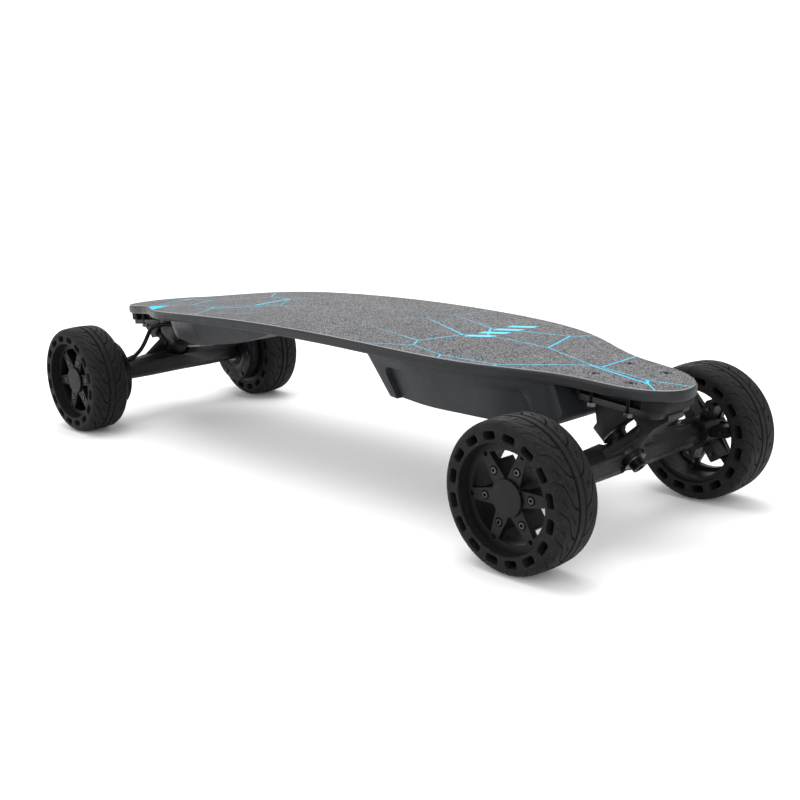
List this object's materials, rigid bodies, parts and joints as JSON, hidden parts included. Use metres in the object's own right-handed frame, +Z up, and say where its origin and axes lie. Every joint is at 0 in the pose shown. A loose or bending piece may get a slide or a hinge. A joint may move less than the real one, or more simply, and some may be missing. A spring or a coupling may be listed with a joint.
{
  "type": "electric skateboard",
  "caption": "Long electric skateboard with a cambered deck, sprung steering trucks, airless treaded wheels, rear hub motors and under-deck battery and controller trays.",
  "frame": {"origin": "on the ground, midway between the four wheels", "axes": "+X to the nose, +Y to the left when facing the nose, +Z up"},
  "size_m": [0.93, 0.3326, 0.176],
  "materials": {
    "deck_composite": "satin painted composite edge",
    "grip": "gritty sprayed grip with a fine cyan line network",
    "riser_rubber": "moulded, satin",
    "truck_paint": "matte black powder coat",
    "urethane": "smooth",
    "black_steel": "black oxide",
    "bright_steel": "zinc plated",
    "bearing_steel": "ground, with black shields",
    "screw_steel": "dark zinc",
    "tyre": "moulded airless rubber",
    "hub_plastic": "satin glass-filled nylon",
    "motor_aluminium": "black anodised",
    "stator_iron": "laminated iron with copper windings",
    "magnet": "nickel plated",
    "enclosure_plastic": "satin moulded",
    "battery_wrap": "heat-shrink film",
    "circuit_board": "solder mask",
    "button_plastic": "gloss",
    "cable_rubber": "matte jacket"
  },
  "bodies": {
    "board": {"deck": "deck_composite", "grip_tape": "grip", "deck_bolts": "black_steel", "deck_nuts": "bright_steel", "riser_pad_front": "riser_rubber", "riser_pad_rear": "riser_rubber", "baseplate_front": "truck_paint", "baseplate_rear": "truck_paint", "kingpin_front": "black_steel", "kingpin_rear": "black_steel", "bushings_front": "urethane", "bushings_rear": "urethane", "pivot_cups": "urethane", "cup_washers": "bright_steel", "battery_enclosure": "enclosure_plastic", "controller_enclosure": "enclosure_plastic", "enclosure_seals": "cable_rubber", "enclosure_screws": "screw_steel", "battery_pack": "battery_wrap", "battery_board": "circuit_board", "controller_board": "circuit_board", "power_switch": "button_plastic", "charge_port": "button_plastic", "motor_cable_left": "cable_rubber", "motor_cable_right": "cable_rubber"},
    "front_truck": {"hanger_front": "truck_paint", "axles_front": "bright_steel", "axle_nuts_front": "bright_steel"},
    "rear_truck": {"hanger_rear": "truck_paint", "axles_rear": "bright_steel", "axle_nuts_rear": "bright_steel", "stators": "stator_iron", "cable_grommets": "cable_rubber"},
    "power_button": {"power_button": "button_plastic"},
    "wheel_front_left": {"wheel_front_left_tyre": "tyre", "wheel_front_left_hub": "hub_plastic", "wheel_front_left_cap": "hub_plastic", "wheel_front_left_bearings": "bearing_steel", "wheel_front_left_screws": "screw_steel"},
    "wheel_front_right": {"wheel_front_right_tyre": "tyre", "wheel_front_right_hub": "hub_plastic", "wheel_front_right_cap": "hub_plastic", "wheel_front_right_bearings": "bearing_steel", "wheel_front_right_screws": "screw_steel"},
    "wheel_rear_left": {"wheel_rear_left_tyre": "tyre", "wheel_rear_left_hub": "hub_plastic", "wheel_rear_left_cap": "hub_plastic", "wheel_rear_left_bearings": "bearing_steel", "wheel_rear_left_screws": "screw_steel", "wheel_rear_left_motor_can": "motor_aluminium", "wheel_rear_left_motor_cover": "motor_aluminium", "wheel_rear_left_magnets": "magnet"},
    "wheel_rear_right": {"wheel_rear_right_tyre": "tyre", "wheel_rear_right_hub": "hub_plastic", "wheel_rear_right_cap": "hub_plastic", "wheel_rear_right_bearings": "bearing_steel", "wheel_rear_right_screws": "screw_steel", "wheel_rear_right_motor_can": "motor_aluminium", "wheel_rear_right_motor_cover": "motor_aluminium", "wheel_rear_right_magnets": "magnet"}
  },
  "joints": [
    {"name": "front_steer", "type": "hinge", "parent": "board", "child": "front_truck", "pos_m": [0.396, 0, 0.0805], "axis": [0.6691, 0, 0.7431], "range_deg": [-20, 20], "stiffness_Nm_per_rad": 80, "deforming": ["bushings_front"]},
    {"name": "rear_steer", "type": "hinge", "parent": "board", "child": "rear_truck", "pos_m": [-0.396, 0, 0.0805], "axis": [-0.6691, 0, 0.7431], "range_deg": [-20, 20], "stiffness_Nm_per_rad": 80, "deforming": ["bushings_rear", "motor_cable_left", "motor_cable_right"]},
    {"name": "wheel_front_left_spin", "type": "hinge", "parent": "front_truck", "child": "wheel_front_left", "pos_m": [0.388, 0.1405, 0.07], "axis": [0, 1, 0], "continuous": true},
    {"name": "wheel_front_right_spin", "type": "hinge", "parent": "front_truck", "child": "wheel_front_right", "pos_m": [0.388, -0.1405, 0.07], "axis": [0, 1, 0], "continuous": true},
    {"name": "wheel_rear_left_spin", "type": "hinge", "parent": "rear_truck", "child": "wheel_rear_left", "pos_m": [-0.388, 0.1405, 0.07], "axis": [0, 1, 0], "continuous": true},
    {"name": "wheel_rear_right_spin", "type": "hinge", "parent": "rear_truck", "child": "wheel_rear_right", "pos_m": [-0.388, -0.1405, 0.07], "axis": [0, 1, 0], "continuous": true},
    {"name": "power_button_press", "type": "slide", "parent": "board", "child": "power_button", "axis": [0.8944, 0, 0.4472], "range_m": [0, 0.0012], "stiffness_N_per_m": 1500}
  ]
}
